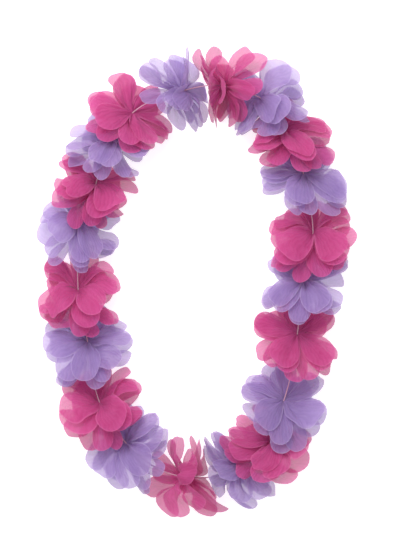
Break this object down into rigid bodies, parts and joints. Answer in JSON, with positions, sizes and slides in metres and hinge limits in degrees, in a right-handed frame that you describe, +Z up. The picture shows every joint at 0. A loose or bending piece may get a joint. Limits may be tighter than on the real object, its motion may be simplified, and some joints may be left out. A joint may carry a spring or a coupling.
{
  "type": "fabric flower lei",
  "caption": "Closed garland of round cloth flowers in hot pink and lavender by turns, threaded on a loop of string and laid flat in a long oval, petals fanned over each other.",
  "frame": {"origin": "middle of the lei's outline as it lies, on the surface under it", "axes": "+Z up from the surface; +Y along the oval's long way, towards the top of the picture; +X to the picture's right"},
  "size_m": [0.3214, 0.4718, 0.0689],
  "materials": {
    "pink_petals": "matt, thin translucent polyester with pressed radial veins",
    "lavender_petals": "matt, thin translucent polyester with pressed radial veins",
    "string": "matt twisted thread"
  },
  "bodies": {
    "root": {"bloom_01_pink": "pink_petals", "bloom_02_lavender": "lavender_petals", "bloom_03_pink": "pink_petals", "bloom_04_lavender": "lavender_petals", "bloom_05_pink": "pink_petals", "bloom_06_lavender": "lavender_petals", "bloom_07_pink": "pink_petals", "bloom_08_lavender": "lavender_petals", "bloom_09_pink": "pink_petals", "bloom_10_lavender": "lavender_petals", "bloom_11_pink": "pink_petals", "bloom_12_lavender": "lavender_petals", "bloom_13_pink": "pink_petals", "bloom_14_lavender": "lavender_petals", "bloom_15_pink": "pink_petals", "bloom_16_lavender": "lavender_petals", "bloom_17_pink": "pink_petals", "bloom_18_lavender": "lavender_petals", "bloom_19_pink": "pink_petals", "bloom_20_lavender": "lavender_petals", "string_loop": "string"}
  },
  "joints": []
}
